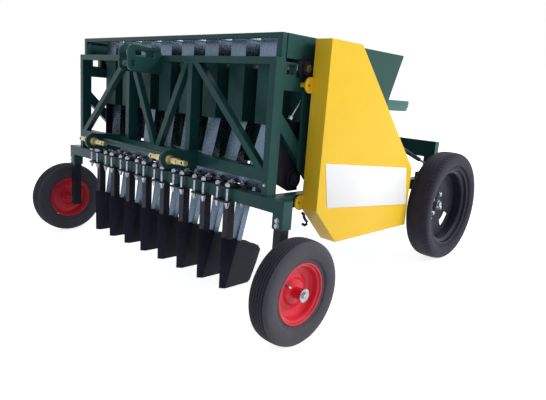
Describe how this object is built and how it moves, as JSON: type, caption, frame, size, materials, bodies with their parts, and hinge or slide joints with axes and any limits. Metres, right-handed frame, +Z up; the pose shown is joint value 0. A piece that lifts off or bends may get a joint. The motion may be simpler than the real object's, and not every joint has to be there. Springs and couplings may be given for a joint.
{
  "type": "garlic planter",
  "caption": "Mounted garlic planter with a hopper, clove elevators, drop tubes, furrow openers, chain drive, seats and rubber-tyred wheels, for a three-point hitch.",
  "frame": {"origin": "middle of the overall box on the floor", "axes": "+X to the machine's drive side, across the direction of travel; -Y towards the tractor hitch; +Z up"},
  "size_m": [1.952, 1.6366, 1.1066],
  "materials": {
    "green_paint": "semi-gloss dark green paint",
    "black_paint": "satin black paint",
    "zinc_steel": "yellow zinc plated steel",
    "white_zinc": "bright zinc plated steel",
    "bare_steel": "bright turned steel",
    "galvanised_sheet": "galvanised sheet",
    "chain_steel": "oiled roller chain steel",
    "yellow_paint": "gloss yellow paint",
    "red_paint": "gloss red paint",
    "tyre": "matte tyre rubber"
  },
  "bodies": {
    "frame": {"toolbar": "green_paint", "leg_sockets": "green_paint", "wheel_legs": "black_paint", "front_axles": "white_zinc", "front_posts": "green_paint", "top_bar": "green_paint", "lower_bar": "green_paint", "front_braces": "green_paint", "top_link_mast": "green_paint", "hitch_plates": "green_paint", "hitch_pins": "zinc_steel", "hitch_tube": "green_paint", "corner_posts": "green_paint", "upper_side_beams": "green_paint", "lower_side_beams": "green_paint", "side_braces": "green_paint", "rear_posts": "green_paint", "rear_beam": "green_paint", "rear_axle_plates": "green_paint", "rear_axles": "white_zinc", "strut_barrels": "black_paint", "strut_rods": "white_zinc", "hopper": "green_paint", "rim_rail": "green_paint", "lift_casings": "galvanised_sheet", "lift_covers": "green_paint", "boot_plates": "black_paint", "chutes": "galvanised_sheet", "chute_rail": "galvanised_sheet", "shanks": "black_paint", "openers": "black_paint", "clamp_plates": "black_paint", "clamp_bolts": "white_zinc", "head_shaft": "bare_steel", "foot_shaft": "black_paint", "bearings": "black_paint", "takeup_frames": "green_paint", "takeup_rod": "white_zinc", "sprocket_shafts": "bare_steel", "sprockets": "bare_steel", "drive_chain": "chain_steel", "chain_guard": "yellow_paint", "seats": "green_paint", "seat_arms": "black_paint"},
    "front_wheel_left": {"front_tyre_left": "tyre", "front_rim_left": "red_paint"},
    "front_wheel_right": {"front_tyre_right": "tyre", "front_rim_right": "red_paint"},
    "rear_wheel_left": {"rear_tyre_left": "tyre", "rear_rim_left": "black_paint"},
    "rear_wheel_right": {"rear_tyre_right": "tyre", "rear_rim_right": "black_paint"}
  },
  "joints": [
    {"name": "front_wheel_left_spin", "type": "hinge", "parent": "frame", "child": "front_wheel_left", "pos_m": [-0.92, -0.61836, 0.2], "axis": [1, 0, 0], "continuous": true},
    {"name": "rear_wheel_left_spin", "type": "hinge", "parent": "frame", "child": "rear_wheel_left", "pos_m": [-0.9, 0.54336, 0.275], "axis": [1, 0, 0], "continuous": true},
    {"name": "front_wheel_right_spin", "type": "hinge", "parent": "frame", "child": "front_wheel_right", "pos_m": [0.92, -0.61836, 0.2], "axis": [1, 0, 0], "continuous": true},
    {"name": "rear_wheel_right_spin", "type": "hinge", "parent": "frame", "child": "rear_wheel_right", "pos_m": [0.9, 0.54336, 0.275], "axis": [1, 0, 0], "continuous": true}
  ]
}
